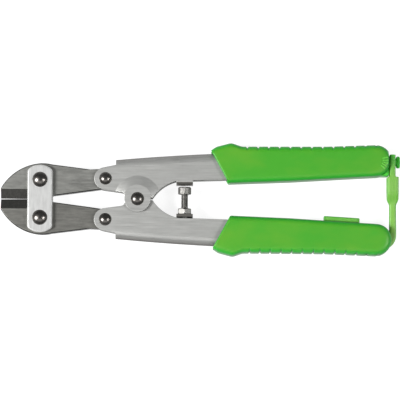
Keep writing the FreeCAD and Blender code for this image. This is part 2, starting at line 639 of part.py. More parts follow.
def grip_end_space():
    """The lower grip's round end and the soft gap about it."""
    radius = GRIP_END_RADIUS + SOFT_GAP
    return upright(GRIP_END_ROUND_X, -GRIP_END_ROUND_Y, radius, -GRIP_THICKNESS, GRIP_THICKNESS)


def strap_side_wire(half_widths):
    """Half widths by height, as a closed outline that is the same on both sides of its centre line."""
    right = [(half, y) for half, y in half_widths]
    left = [(-half, y) for half, y in reversed(half_widths)]
    return outline(*(right + left))


def strap():
    """The elastic strap: a bar from the lower grip's end, a finger pad, and a loop round the peg."""
    top_y = STRAP_SLOT_END_Y + STRAP_TOP_BAR
    bar = STRAP_BAR_WIDTH / 2
    pad = STRAP_PAD_WIDTH / 2
    front_view = slab(
        strap_side_wire([
            (bar, STRAP_ROOT_Y), (bar, STRAP_TAPER_START_Y), (pad, STRAP_PAD_START_Y),
            (pad, STRAP_PAD_TOP_Y)]),
        -STRAP_LOOP_THICKNESS / 2, STRAP_LOOP_THICKNESS / 2)
    front_view.translate(point(STRAP_CENTRE_X, 0))
    loop = box(
        STRAP_INNER_X, STRAP_INNER_X + STRAP_LOOP_WIDTH, STRAP_PAD_TOP_Y, top_y,
        -STRAP_LOOP_THICKNESS / 2, STRAP_LOOP_THICKNESS / 2)
    thin = STRAP_BAR_THICKNESS / 2
    thick = STRAP_LOOP_THICKNESS / 2
    side_view = slab(
        strap_side_wire([
            (thin, STRAP_ROOT_Y), (thin, STRAP_TAPER_START_Y), (thick, STRAP_SPREAD_END_Y),
            (thick, top_y)]),
        -STRAP_PAD_WIDTH, STRAP_PAD_WIDTH)
    side_view.rotate(point(0, 0), Y_AXIS, 90)
    side_view.translate(point(STRAP_CENTRE_X, 0))
    slot_half = STRAP_SLOT_WIDTH / 2
    slot = box(0, FAR, STRAP_SLOT_START_Y, STRAP_SLOT_END_Y, -slot_half, slot_half)
    return front_view.fuse(loop).common(side_view).cut(slot).cut(grip_end_space()).removeSplitter()


def pieces():
    """Every piece in its place about the centre pivot."""
    blade = upper_blade()
    plate = link_plate()
    jaw_rivet = rivet(
        JAW_PIVOT_X, JAW_PIVOT_Y, JAW_RIVET_RADIUS, JAW_RIVET_HEAD_RADIUS, JAW_RIVET_DOME_HEIGHT,
        LINK_PLATE_OUTER_Z)
    tail_rivet = rivet(
        TAIL_PIVOT_X, TAIL_PIVOT_Y, TAIL_RIVET_RADIUS, TAIL_RIVET_HEAD_RADIUS, SMALL_DOME_HEIGHT,
        CHEEK_OUTER_Z)
    centre_rivet = rivet(
        0, 0, CENTRE_RIVET_RADIUS, CENTRE_RIVET_HEAD_RADIUS, SMALL_DOME_HEIGHT, EAR_OUTER_Z)
    to_lower_jaw = point(0, -2 * JAW_PIVOT_Y)
    to_lower_tail = point(0, -2 * TAIL_PIVOT_Y)
    return {
        "upper_blade": blade,
        "lower_blade": other_half(blade),
        "front_link_plate": plate,
        "rear_link_plate": other_half(plate),
        "upper_jaw_rivet": jaw_rivet,
        "lower_jaw_rivet": jaw_rivet.translated(to_lower_jaw),
        "upper_tail_rivet": tail_rivet,
        "lower_tail_rivet": tail_rivet.translated(to_lower_tail),
        "centre_rivet": centre_rivet,
        "centre_spacer": centre_spacer(),
        "opening_spring": opening_spring(),
        "upper_handle": handle(CENTRE_RIVET_RADIUS),
        "lower_handle": other_half(handle(CENTRE_RIVET_RADIUS + OPEN_PIVOT_FIT)),
        "stop_screw": stop_screw(),
        "lock_nut": lock_nut(),
        "upper_grip": upper_grip(),
        "lower_grip": lower_grip(),
        "strap": strap(),
    }


os.makedirs("parts", exist_ok=True)
for name, shape in pieces().items():
    shape.translate(TO_FRAME)
    shape.exportStep("parts/" + name + ".step")
    size = shape.BoundBox
    print(name, len(shape.Solids), shape.isValid(), round(shape.Volume), "mm3", size)
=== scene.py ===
import json
import math

import bmesh
import bpy
from mathutils import Matrix, Vector


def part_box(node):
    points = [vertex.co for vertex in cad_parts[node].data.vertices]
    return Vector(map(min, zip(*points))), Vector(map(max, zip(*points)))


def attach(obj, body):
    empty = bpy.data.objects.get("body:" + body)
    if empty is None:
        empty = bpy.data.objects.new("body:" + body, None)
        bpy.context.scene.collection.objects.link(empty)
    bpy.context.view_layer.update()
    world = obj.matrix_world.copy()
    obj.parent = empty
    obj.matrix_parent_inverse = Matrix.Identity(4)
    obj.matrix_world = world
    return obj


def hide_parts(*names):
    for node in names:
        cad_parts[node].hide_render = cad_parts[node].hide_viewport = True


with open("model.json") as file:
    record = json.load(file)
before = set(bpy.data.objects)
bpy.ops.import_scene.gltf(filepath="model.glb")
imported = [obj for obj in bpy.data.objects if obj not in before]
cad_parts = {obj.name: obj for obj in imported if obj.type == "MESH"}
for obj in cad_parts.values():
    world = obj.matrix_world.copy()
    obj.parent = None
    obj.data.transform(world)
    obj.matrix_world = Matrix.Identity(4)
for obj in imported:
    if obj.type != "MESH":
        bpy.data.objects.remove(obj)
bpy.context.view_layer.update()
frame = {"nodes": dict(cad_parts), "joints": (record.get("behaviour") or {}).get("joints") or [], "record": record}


def middle(node):
    low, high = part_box(node)
    return (low + high) / 2


# The frame: +X from the jaws to the grips, +Y to the upper handle, +Z out of the front. It is in metres.
# Shapes are made in millimetres from the centre pivot and the plane half-way through the tool.
MM = 0.001
JOINTS = {joint["name"]: joint for joint in frame["joints"]}
CENTRE = Vector((middle("centre_rivet").x, 0.0, JOINTS["upper_handle_pivot"]["pos_m"][2]))

# Grips: their side lines are points from the front to the start of the round end
WALL_SHARES = (0.5, 0.0, -0.5)
GRIP_HALF = 7.6
GRIP_ROLL = 3.2
GRIP_LIP_ROLL = 0.8
GRIP_FRONT_X = 39.3
GRIP_FRONT_SLANT = 9.7
GRIP_SLANT_LENGTH = 30.0
GRIP_END_X = 128.4
GRIP_OUTER_LINE = [
    (30.0, 22.0), (GRIP_FRONT_X, 26.6), (42.1, 28.4), (50.5, 30.6), (56.0, 28.6), (102.0, 28.8),
    (GRIP_END_X, 29.8)]
GRIP_INNER_FRONT_Y = 8.7
GRIP_INNER_LINE = [
    (30.0, 8.0), (GRIP_FRONT_X + GRIP_FRONT_SLANT, GRIP_INNER_FRONT_Y), (82.5, 10.0), (GRIP_END_X, 12.8)]
CORNER_SOFTNESS = 1.1
GRIP_END_Y = 21.3
GRIP_END_RADIUS = 8.5
GRIP_BULGE_START_X = 110.0
GROOVE_START_X = 59.1
GROOVE_PITCH = 5.8
GROOVE_COUNT = 13
GROOVE_DEPTH = 0.8
GROOVE_HALF_WIDTH = 0.42
GROOVE_REACH = 2.8
LOWER_GROOVE_SHIFT = 0.9
LOWER_FRONT_SHIFT = 1.1
FRONT_SHIFT_LENGTH = 40.0
FRONT_CORNER = 0.7
FRONT_CORNER_LENGTH = 4.0
# Stations along a grip, measured from its ends and from the middle of each groove
END_STEPS = [0.0, 0.03, 0.12, 0.28, 0.5, 0.8, 1.3, 2.1]
ROUND_END_STEPS = [3.2, 4.4]
GROOVE_STEPS = [-2.2, -1.1, -0.8, -0.55, -0.35, -0.15, 0.0, 0.15, 0.35, 0.55, 0.8, 1.1, 2.2]
STATION_SPACING = 1.0
GAP_BEFORE_GROOVES = 1.4
GAP_BEFORE_ROUND_END = 4.6
# Stations across a grip: steps from each side, and shares of the width between them
SIDE_STEPS = [0.0, 0.03, 0.12, 0.3, 0.55, 0.9, 1.4, 2.0, 2.7, 3.5]
MIDDLE_SHARES = [0.32, 0.44, 0.56, 0.68]
RIB_ANGLES = [-44.0, -29.0, -14.0, 1.0, 16.0]
RIB_INNER_RADIUS = 3.4
RIB_OUTER_RADIUS = 6.6
RIB_HALF_WIDTH = 0.38
RIB_LOW_Z = 6.8
RIB_HIGH_Z = 7.95
RIB_ROLL = 0.22

# The handle where the grips hold it, and the grips' sockets
HANDLE_HALF = 4.6
HANDLE_BEND = 4.4
HANDLE_EDGE_ROLL = 0.6
HANDLE_FIT = 0.06
HANDLE_INNER_LINE = [(30.0, 10.1), (45.0, 10.7), (131.0, 15.2)]
HANDLE_OUTER_WALL = 1.75
SOCKET_DEPTH = 10.0
SOCKET_TAPER = 0.97
LIP_SHARE = 0.12

# Lug, peg and keeper
LUG_END_X = 135.4
LUG_START_X = 124.0
LUG_INNER_Y = 13.1
LUG_OUTER_Y = 25.5
LUG_HALF = 5.1
LUG_ROLL = 0.7
PEG_Y = 20.9
PEG_RADIUS = 1.8
PEG_NOSE_X = 139.5
PEG_NOSE_RADIUS = 3.3
PEG_TIP_X = 141.7
PEG_FLATNESS = 0.62
PEG_NOSE_EDGE = 0.72
PEG_NOSE_SWELL = 0.28
PEG_NOSE_CURVE = 0.6
PEG_ROOT_DEPTH = 1.0
PEG_FLARE = 0.5
NECK_SEGMENTS = 32
NOSE_SEGMENTS = 40
PEG_VOXEL = 0.26
KEEPER_START_X = 100.5
KEEPER_END_X = 119.7
KEEPER_HEIGHT = 2.6
KEEPER_ROOT = 1.5
KEEPER_HALF = 3.2
KEEPER_ROLL = 0.5
KEEPER_FRAME = 0.9
WINDOW_DROP = 0.35
WINDOW_DEPTH = 0.3
WINDOW_PROUD = 0.12
WINDOW_ROLL = 0.3

# Strap
STRAP_X = 137.65
STRAP_INNER_X = 135.75
STRAP_BAR_HALF = 1.9
STRAP_PAD_HALF = 3.1
STRAP_THIN_HALF = 2.0
STRAP_THICK_HALF = 5.3
STRAP_BEND_RADIUS = 6.0
STRAP_BEND_DEGREES = 64.0
STRAP_BEND_Y = -18.6
STRAP_WIDEN_START_Y = -2.6
STRAP_WIDEN_LENGTH = 3.3
STRAP_THICKEN_LENGTH = 7.6
STRAP_BAR_YS = [-16.0, -12.0, -8.0, -4.0, -2.6, -1.6, -0.6, 0.4, 1.4, 3.0, 5.0, 8.0, 11.0, 12.2]
STRAP_BAR_ROLL = 1.2
STRAP_PAD_TOP_Y = 12.75
STRAP_TOP_Y = 24.85
STRAP_TOP_HALF = 1.3
STRAP_TOP_BEVEL = 0.8
STRAP_TOP_SHRINK = 0.75
STRAP_LEG_YS = [10.0, 13.0, 16.0, 19.0, 22.0]
STRAP_LEG_ROLL = 0.9
STRAP_LEG_WIDTH = 3.2
STRAP_LEG_SHIFT = 0.1
STRAP_SLOT_HALF = 2.5
STRAP_SLOT_START_Y = 4.5
STRAP_SLOT_ROLL = 0.8
STRAP_SLOT_CUT_HALF = 8.0
STRAP_SLOT_CUT_RISE = 4.0
STRAP_VOXEL = 0.28
FLUTE_START_Y = -2.0
FLUTE_PITCH = 1.5
FLUTE_DEPTH = 0.14
# The flutes fade in and out along the pad, in shares of its length, and away from its flat faces
FLUTE_FADE_IN = 0.2
FLUTE_FADE_OUT = 0.3
FLUTE_LAST_SHARE = 1.4
FLUTE_LEAST_FACING = 0.5
FLUTE_FACING_RANGE = 0.4

# Steel: how far the shading rounds an edge, and the ground bevels beside the cutting edges, which are painted dark
# as shade
EDGE_SOFTNESS = 0.45 * MM
BEVEL_TOP_Y = 5.32
BEVEL_END_X = -54.45

# Stop screw, nut and tabs
SCREW_X = 25.4
SCREW_HEAD_TOP_Y = 6.9
SCREW_HEAD_BASE_Y = 2.9
SCREW_END_Y = -13.1
SCREW_HEAD_RADIUS = 3.5
SCREW_HEAD_FACE_RADIUS = 2.9
SCREW_HEAD_ROUND_RADIUS = 3.18
SCREW_HEAD_BASE_RADIUS = 3.2
SCREW_SEGMENTS = 216
SCREW_RADIUS = 2.0
SCREW_END_TAPER = 0.35
THREAD_PITCH = 0.7
THREAD_DEPTH = 0.42
THREAD_FLANK = 2.6
THREAD_CREST = 0.15
SCREW_END_EDGE = 0.05
SCREW_TAPER_LENGTH = 0.5
SHANK_SEGMENTS = 40
SOCKET_FLATS = 3.0
SOCKET_RIM_RADIUS = 1.95
SOCKET_FLOOR = 2.0
CLOSING_RADIUS = 0.05
KNURL_COUNT = 36
KNURL_DEPTH = 0.13
NUT_BASE_Y = -7.8
NUT_TOP_Y = -4.8
NUT_FLATS = 7.0
NUT_BORE = 2.05
NUT_BORE_CHAMFER = 0.25
NUT_CHAMFER_RISE = 1.3
NUT_SEGMENTS = 96
NUT_FACE_SHARE = 0.99
NUT_ROWS = (0.03, 0.08, 0.14, 0.2, 0.3, 0.5, 0.7, 0.8, 0.86, 0.92, 0.97, 1.0)
TAB_HALF = 4.4
TAB_OUTER_Y = 9.4

# Rivets
RIVET_SHANKS = {"jaw": 3.0, "tail": 2.5, "centre": 2.5}
RIVET_PLAY = 0.06
DOME_HEIGHTS = {"jaw": 2.0, "tail": 1.8, "centre": 1.8}
REAR_HEAD_HEIGHT = 1.2
DOME_TOP_RADIUS = 0.03
RIVET_SEGMENTS = 72


# ---------------------------------------------------------------- node helpers

def new_material(name):
    material = bpy.data.materials.new(name)
    material.use_nodes = True
    nodes = material.node_tree.nodes
    links = material.node_tree.links
    return material, nodes, links, nodes["Principled BSDF"]


def object_coordinates(nodes, links, scale=(1, 1, 1)):
    """Object coordinates, stretched by scale on each axis."""
    coordinates = nodes.new("ShaderNodeTexCoord")
    mapping = nodes.new("ShaderNodeMapping")
    mapping.inputs["Scale"].default_value = scale
    links.new(coordinates.outputs["Object"], mapping.inputs["Vector"])
    return mapping.outputs["Vector"]


def separate(nodes, links, vector):
    node = nodes.new("ShaderNodeSeparateXYZ")
    links.new(vector, node.inputs["Vector"])
    return node.outputs


def noise(nodes, links, vector, scale, detail=4.0, roughness=0.6):
    texture = nodes.new("ShaderNodeTexNoise")
    texture.inputs["Scale"].default_value = scale
    texture.inputs["Detail"].default_value = detail
    texture.inputs["Roughness"].default_value = roughness
    links.new(vector, texture.inputs["Vector"])
    return texture.outputs["Fac"]


def ramp(nodes, links, factor, stops):
    """A colour ramp: stops are (position, (r, g, b))."""
    node = nodes.new("ShaderNodeValToRGB")
    elements = node.color_ramp.elements
    while len(elements) < len(stops):
        elements.new(0.5)
    for element, (position, colour) in zip(elements, stops):
        element.position = position
        element.color = (*colour, 1.0)
    links.new(factor, node.inputs["Fac"])
    return node.outputs["Color"]


def to_range(nodes, links, value, low, high, new_low, new_high):
    node = nodes.new("ShaderNodeMapRange")
    node.inputs["From Min"].default_value = low
    node.inputs["From Max"].default_value = high
    node.inputs["To Min"].default_value = new_low
    node.inputs["To Max"].default_value = new_high
    links.new(value, node.inputs["Value"])
    return node.outputs["Result"]


def combine(nodes, links, operation, first, second):
    """A math node. The second value may be a number or a socket."""
    node = nodes.new("ShaderNodeMath")
    node.operation = operation
    links.new(first, node.inputs[0])
    if isinstance(second, (int, float)):
        node.inputs[1].default_value = second
    else:
        links.new(second, node.inputs[1])
    return node.outputs[0]


def mix(nodes, links, factor, first, second):
    """A colour mix. The second colour may be a tuple or a socket."""
    node = nodes.new("ShaderNodeMix")
    node.data_type = "RGBA"
    links.new(factor, node.inputs["Factor"])
    links.new(first, node.inputs["A"])
    if isinstance(second, tuple):
        node.inputs["B"].default_value = (*second, 1.0)
    else:
        links.new(second, node.inputs["B"])
    return node.outputs["Result"]


def bump(nodes, links, height, shader, strength, distance, edge=0.0):
    """A fine relief on the surface. Edges are softened over the given radius."""
    node = nodes.new("ShaderNodeBump")
    if edge:
        softened = nodes.new("ShaderNodeBevel")
        softened.samples = 6
        softened.inputs["Radius"].default_value = edge
        links.new(softened.outputs["Normal"], node.inputs["Normal"])
    node.inputs["Strength"].default_value = strength
    node.inputs["Distance"].default_value = distance
    links.new(height, node.inputs["Height"])
    links.new(node.outputs["Normal"], shader.inputs["Normal"])


def upward(nodes, links):
    """How much a surface lies flat to the front or the back, from 0 on a side wall to 1."""
    geometry = nodes.new("ShaderNodeNewGeometry")
    normal = separate(nodes, links, geometry.outputs["Normal"])
    return combine(nodes, links, "ABSOLUTE", normal["Z"], 0.0)


# ---------------------------------------------------------------- materials

def brushed_steel(name, dark, light, side, metal, roughness, grain, grain_depth, walls=(0.3, 0.9)):
    """Sheet or bar steel: fine lines, faint clouds, uneven gloss, and side walls painted a set tone by the way
    they face: painted shade where that tone is dark, a painted highlight where it is light.
    """
    material, nodes, links, shader = new_material(name)
    shader.inputs["Metallic"].default_value = metal
    lines = noise(nodes, links, object_coordinates(nodes, links, grain), 1.0, 3.0, 0.7)
    clouds = noise(nodes, links, object_coordinates(nodes, links), 160.0)
    mixed = combine(nodes, links, "MULTIPLY", clouds, 0.45)
    mixed = combine(nodes, links, "ADD", mixed, lines)
    face = ramp(nodes, links, mixed, [(0.4, dark), (1.0, light)])
    # Painted light: side walls take the side colour by how far they turn from the front. It is painted shade on
    # most steels and a painted highlight on the plates.
    flat = to_range(nodes, links, upward(nodes, links), *walls, 1.0, 0.0)
    links.new(mix(nodes, links, flat, face, side), shader.inputs["Base Color"])
    links.new(
        to_range(nodes, links, lines, 0.3, 0.7, roughness - 0.05, roughness + 0.07),
        shader.inputs["Roughness"])
    bump(nodes, links, lines, shader, 0.35, grain_depth, EDGE_SOFTNESS)
    return material, nodes, links, shader, face, flat


def blade_steel(name, dark, light):
    """Blade steel, with painted shade: the ground bevels along the cutting edge are painted much darker in place
    of the dark surroundings they reflect, and the chamfers and side walls near black.
    """
    # Near black: painted shade on the chamfers and side walls.
    side = (0.018, 0.018, 0.017)
    material, nodes, links, shader, face, flat = brushed_steel(
        name, dark, light, side, metal=0.7, roughness=0.42, grain=(120, 900, 900), grain_depth=0.02 * MM,
        walls=(0.72, 0.9))
    place = separate(nodes, links, object_coordinates(nodes, links))
    from_edge = combine(nodes, links, "ABSOLUTE", place["Y"], 0.0)
    in_bevel = combine(nodes, links, "LESS_THAN", from_edge, BEVEL_TOP_Y * MM)
    before_pivot = combine(nodes, links, "LESS_THAN", place["X"], CENTRE.x + BEVEL_END_X * MM)
    # Where the bevels lie. Below they are painted dark as painted shade, in place of the dark surroundings they
    # reflect, over a scratched grind.
    painted_bevel_mask = combine(nodes, links, "MULTIPLY", in_bevel, before_pivot)
    scratches = noise(nodes, links, object_coordinates(nodes, links, (1500, 90, 1500)), 1.0, 3.0, 0.7)
    ground = ramp(nodes, links, scratches, [(0.3, (0.045, 0.044, 0.040)), (0.8, (0.080, 0.078, 0.072))])
    walls = mix(nodes, links, flat, face, side)
    links.new(mix(nodes, links, painted_bevel_mask, walls, ground), shader.inputs["Base Color"])
    return material


def handle_steel():
    """Handle steel, with painted shade on its side walls and a dark band painted as shade over the stop tabs
    beside the screw.
    """
    # Dark: painted shade on the side walls.
    side = (0.075, 0.07, 0.065)
    material, nodes, links, shader, face, flat = brushed_steel(
        "handle_steel", (0.35, 0.35, 0.335), (0.43, 0.43, 0.415), side, metal=0.6, roughness=0.42,
        grain=(60, 1400, 1400), grain_depth=0.02 * MM, walls=(0.35, 0.9))
    place = separate(nodes, links, object_coordinates(nodes, links))
    along = combine(nodes, links, "ADD", place["X"], -CENTRE.x - SCREW_X * MM)
    along = combine(nodes, links, "ABSOLUTE", along, 0.0)
    across = combine(nodes, links, "ABSOLUTE", place["Y"], 0.0)
    beside_screw = combine(nodes, links, "LESS_THAN", along, TAB_HALF * MM)
    inside_edge = combine(nodes, links, "LESS_THAN", across, TAB_OUTER_Y * MM)
    painted_tab_shade_mask = combine(nodes, links, "MULTIPLY", beside_screw, inside_edge)
    walls = mix(nodes, links, flat, face, side)
    # The band over the stop tabs is painted dark as shade.
    links.new(mix(nodes, links, painted_tab_shade_mask, walls, (0.12, 0.115, 0.105)), shader.inputs["Base Color"])
    return material


def polished_rivet():
    """Dark polished steel, a little cloudy in colour and gloss."""
    material, nodes, links, shader = new_material("rivet_steel")
    shader.inputs["Metallic"].default_value = 1.0
    clouds = noise(nodes, links, object_coordinates(nodes, links), 420.0)
    links.new(
        ramp(nodes, links, clouds, [(0.3, (0.115, 0.108, 0.10)), (0.75, (0.17, 0.16, 0.15))]),
        shader.inputs["Base Color"])
    links.new(to_range(nodes, links, clouds, 0.3, 0.7, 0.25, 0.32), shader.inputs["Roughness"])
    bump(nodes, links, clouds, shader, 0.15, 0.02 * MM)
    return material


def soft_vinyl(name, face, warm, edge, painted_wall_shade, glow, roughness):
    """Soft moulded vinyl: a little translucent, with a fine matt skin, and painted shade that turns it a deeper
    green where it rolls over and darker on its side walls.
    """
    material, nodes, links, shader = new_material(name)
    clouds = noise(nodes, links, object_coordinates(nodes, links, (0.6, 1, 1)), 60.0, 3.0)
    skin = noise(nodes, links, object_coordinates(nodes, links), 1900.0, 2.0)
    cloudy = ramp(nodes, links, clouds, [(0.42, face), (0.72, warm)])
    # Painted shade: the roll-over is painted the edge colour, and the side walls a darker colour still.
    rolled = to_range(nodes, links, upward(nodes, links), 0.72, 0.985, 1.0, 0.0)
    painted_wall_shade_mask = to_range(nodes, links, upward(nodes, links), 0.12, 0.6, 1.0, 0.0)
    deeper = mix(nodes, links, rolled, cloudy, edge)
    colour = mix(nodes, links, painted_wall_shade_mask, deeper, painted_wall_shade)
    links.new(colour, shader.inputs["Base Color"])
    links.new(
        to_range(nodes, links, skin, 0.3, 0.7, roughness - 0.04, roughness + 0.06),
        shader.inputs["Roughness"])
    shader.inputs["Subsurface Weight"].default_value = glow
    shader.inputs["Subsurface Radius"].default_value = (0.6, 1.0, 0.25)
    shader.inputs["Subsurface Scale"].default_value = 2.0 * MM
    shader.inputs["IOR"].default_value = 1.42
    bump(nodes, links, skin, shader, 0.12, 0.03 * MM)
    return material, nodes, links, shader, colour


def strap_vinyl():
    """The strap's thin pale vinyl, which turns deeper green where it wraps the peg."""
    material, nodes, links, shader, colour = soft_vinyl(
        "strap_elastomer", face=(0.185, 0.41, 0.07), warm=(0.22, 0.44, 0.08), edge=(0.13, 0.38, 0.05),
        painted_wall_shade=(0.08, 0.30, 0.035), glow=0.45, roughness=0.42)
    place = separate(nodes, links, object_coordinates(nodes, links))
    hooked = to_range(nodes, links, place["Y"], 13.5 * MM, 22.5 * MM, 0.0, 0.85)
    on_pad = to_range(nodes, links, place["Y"], -2.0 * MM, 2.0 * MM, 0.0, 0.55)
    deeper = mix(nodes, links, on_pad, colour, (0.13, 0.36, 0.045))
    links.new(mix(nodes, links, hooked, deeper, (0.045, 0.32, 0.03)), shader.inputs["Base Color"])
    return material


def paper_white():
    material, _, _, shader = new_material("floor_white")
    shader.inputs["Base Color"].default_value = (0.22, 0.22, 0.22, 1.0)
    shader.inputs["Roughness"].default_value = 0.9
    shader.inputs["Specular IOR Level"].default_value = 0.0
    shader.inputs["Emission Color"].default_value = (1.0, 1.0, 1.0, 1.0)
    shader.inputs["Emission Strength"].default_value = 0.86
    return material


# ---------------------------------------------------------------- stage

def make_floor():
    size = 2.5
    mesh = bpy.data.meshes.new("floor")
    corners = [(-size, -size, 0), (size, -size, 0), (size, size, 0), (-size, size, 0)]
    mesh.from_pydata(corners, [], [(0, 1, 2, 3)])
    floor = bpy.data.objects.new("floor", mesh)
    bpy.context.scene.collection.objects.link(floor)
    mesh.materials.append(paper_white())


def make_camera():
    """Nearly straight down, leaning a few degrees towards the lower handle."""
    width_seen = 216 * MM
    distance = 1.5
    lean = math.radians(5.0)
    roll = math.radians(0.3)
    target = Vector((-0.3 * MM, 0.0, CENTRE.z))
    camera = bpy.data.cameras.new("camera")
    camera.sensor_width = 36.0
    camera.lens = camera.sensor_width * distance / width_seen
    holder = bpy.data.objects.new("camera", camera)
    bpy.context.scene.collection.objects.link(holder)
    holder.location = target + distance * Vector((0, -math.sin(lean), math.cos(lean)))
    holder.rotation_euler = (Matrix.Rotation(lean, 4, "X") @ Matrix.Rotation(roll, 4, "Z")).to_euler()
    bpy.context.scene.camera = holder


def softbox(name, place, size, watts):
    light = bpy.data.lights.new(name, "AREA")
    light.shape = "ELLIPSE"
    light.size, light.size_y = size
    light.energy = watts
    holder = bpy.data.objects.new(name, light)
    bpy.context.scene.collection.objects.link(holder)
    holder.location = place
    holder.rotation_euler = (-Vector(place)).to_track_quat("-Z", "Y").to_euler()


def make_lights():
    softbox("key_left", (-0.80, -0.10, 0.76), (0.46, 0.46), 17.0)
    softbox("fill_right", (0.74, -0.10, 0.82), (0.34, 0.34), 5.5)
    softbox("near_strip", (0.0, -0.60, 0.95), (1.6, 0.55), 2.4)
    world = bpy.data.worlds.new("studio")
    world.use_nodes = True
    bpy.context.scene.world = world
    background = world.node_tree.nodes["Background"]
    background.inputs["Color"].default_value = (0.95, 0.98, 1.0, 1.0)
    background.inputs["Strength"].default_value = 0.18
    bpy.context.scene.view_settings.view_transform = "Standard"


# ---------------------------------------------------------------- mesh helpers

def at_pivot(x, y, z):
    return CENTRE + Vector((x, y, z)) * MM


def turned(place):
    """Half a turn about X, to the other handle."""
    x, y, z = place
    return (x, -y, -z)


def same(place):
    return place


def make_object(name, points, faces, material, turn=same):
    """A smooth mesh object from points in millimetres about the centre pivot."""
    mesh = bpy.data.meshes.new(name)
    mesh.from_pydata([at_pivot(*turn(place)) for place in points], [], faces)
    mesh.validate()
    shell = bmesh.new()
    shell.from_mesh(mesh)
    bmesh.ops.recalc_face_normals(shell, faces=shell.faces)
    shell.to_mesh(mesh)
    shell.free()
    for polygon in mesh.polygons:
        polygon.use_smooth = True
    mesh.materials.append(material)
    shape = bpy.data.objects.new(name, mesh)
    bpy.context.scene.collection.objects.link(shape)
    return shape


def settle(shape):
    """Applies the object's modifiers to its mesh."""
    graph = bpy.context.evaluated_depsgraph_get()
    finished = bpy.data.meshes.new_from_object(shape.evaluated_get(graph))
    shape.modifiers.clear()
    shape.data = finished
    return shape


def join(shapes, name):
    """One object with the meshes of several, each with its own material."""
    whole = bmesh.new()
    materials = []
    for shape in shapes:
        material = shape.data.materials[0]
        if material not in materials:
            materials.append(material)
        for polygon in shape.data.polygons:
            polygon.material_index = materials.index(material)
        whole.from_mesh(shape.data)
        bpy.data.objects.remove(shape)
    mesh = bpy.data.meshes.new(name)
    whole.to_mesh(mesh)
    whole.free()
    for material in materials:
        mesh.materials.append(material)
    joined = bpy.data.objects.new(name, mesh)
    bpy.context.scene.collection.objects.link(joined)
    return joined


def melt(shapes, name, voxel, smoothing):
    """The shapes remeshed into one skin, softened where they meet."""
    material = shapes[0].data.materials[0]
    whole = join(shapes, name)
    remesh = whole.modifiers.new("skin", "REMESH")
    remesh.mode = "VOXEL"
    remesh.voxel_size = voxel * MM
    soften = whole.modifiers.new("soften", "SMOOTH")
    soften.factor = 0.5
    soften.iterations = smoothing
    settle(whole)
    whole.data.materials.clear()
    whole.data.materials.append(material)
    for polygon in whole.data.polygons:
        polygon.material_index = 0
        polygon.use_smooth = True
    return whole


def loft(rings, closed_ends=True):
    """Quads between rings of equal length, and a face on each end."""
    count = len(rings[0])
    points = [place for ring in rings for place in ring]
    faces = []
    for step in range(len(rings) - 1):
        for index in range(count):
            after = (index + 1) % count
            faces.append((
                step * count + index, step * count + after,
                (step + 1) * count + after, (step + 1) * count + index))
    if closed_ends:
        faces.append(tuple(range(count)))
        faces.append(tuple(range(len(points) - count, len(points))))
    return points, faces


def rounded_ring(half_u, half_v, roll, corner_steps=5):
    """A rounded rectangle as (u, v) points."""
    ring = []
    for corner in range(4):
        sign_u = 1 if corner in (0, 3) else -1
        sign_v = 1 if corner in (0, 1) else -1
        for step in range(corner_steps + 1):
            angle = math.radians(90 * corner + 90 * step / corner_steps)
            ring.append((
                sign_u * (half_u - roll) + roll * math.cos(angle),
                sign_v * (half_v - roll) + roll * math.sin(angle)))
    return ring


def rounded_block(low, high, roll):
    """Points and faces of a block along X whose edges and ends are all rolled."""
    half_y = (high[1] - low[1]) / 2
    half_z = (high[2] - low[2]) / 2
    middle_y = (high[1] + low[1]) / 2
    middle_z = (high[2] + low[2]) / 2
    steps = 5
    stations = []
    for index in range(steps, -1, -1):
        angle = math.radians(90 / steps * index)
        stations.append((low[0] + roll * (1 - math.sin(angle)), roll * (1 - math.cos(angle))))
    stations += [(high[0] - (x - low[0]), inset) for x, inset in reversed(stations)]
    rings = []
    for x, inset in stations:
        ring = rounded_ring(half_y - inset, half_z - inset, max(roll - inset, CLOSING_RADIUS))
        rings.append([(x, middle_y + u, middle_z + v) for u, v in ring])
    return loft(rings)


def lathe(profile, axis_point, axis, segments, closed_ends=True):
    """A turned shape. The profile is (along, radius), and the radius may depend on the angle."""
    rings = []
    for along, radius in profile:
        ring = []
        for index in range(segments):
            angle = 2 * math.pi * index / segments
            size = radius(angle, along) if callable(radius) else radius
            across = (size * math.cos(angle), size * math.sin(angle))
            if axis == "Y":
                place = (axis_point[0] + across[0], along, axis_point[1] + across[1])
            elif axis == "X":
                place = (along, axis_point[0] + across[0], axis_point[1] + across[1])
            else:
                place = (axis_point[0] + across[0], axis_point[1] + across[1], along)
            ring.append(place)
        rings.append(ring)
    return loft(rings, closed_ends)


# ---------------------------------------------------------------- grips

def along_line(line, x):
    """Height of a broken line at x."""
    for (x0, y0), (x1, y1) in zip(line, line[1:]):
        if x <= x1:
            return y0 + (y1 - y0) * (x - x0) / (x1 - x0)
    return line[-1][1]


def softened_line(line, x):
    """The broken line with its corners rounded, ending exactly at its last point."""
    reach = min(CORNER_SOFTNESS, line[-1][0] - x)
    samples = [-1.0, -0.6, -0.2, 0.2, 0.6, 1.0]
    return sum(along_line(line, x + reach * share) for share in samples) / len(samples)


def smooth_step(value):
    value = min(max(value, 0.0), 1.0)
    return value * value * (3 - 2 * value)


def rolled_drop(distance, radius):
    """How far a face has dropped at a distance from its rolled edge."""
    if distance >= radius:
        return 0.0
    inset = min(radius - max(distance, 0.0), radius)
    return radius - math.sqrt(max(radius * radius - inset * inset, 0.0))


def groove(x, shift):
    """1 in the middle of a groove and 0 between grooves."""
    nearest = round((x - GROOVE_START_X - shift) / GROOVE_PITCH)
    nearest = min(max(nearest, 0), GROOVE_COUNT - 1)
    away = (x - GROOVE_START_X - shift - nearest * GROOVE_PITCH) / GROOVE_HALF_WIDTH
    return math.exp(-away * away)


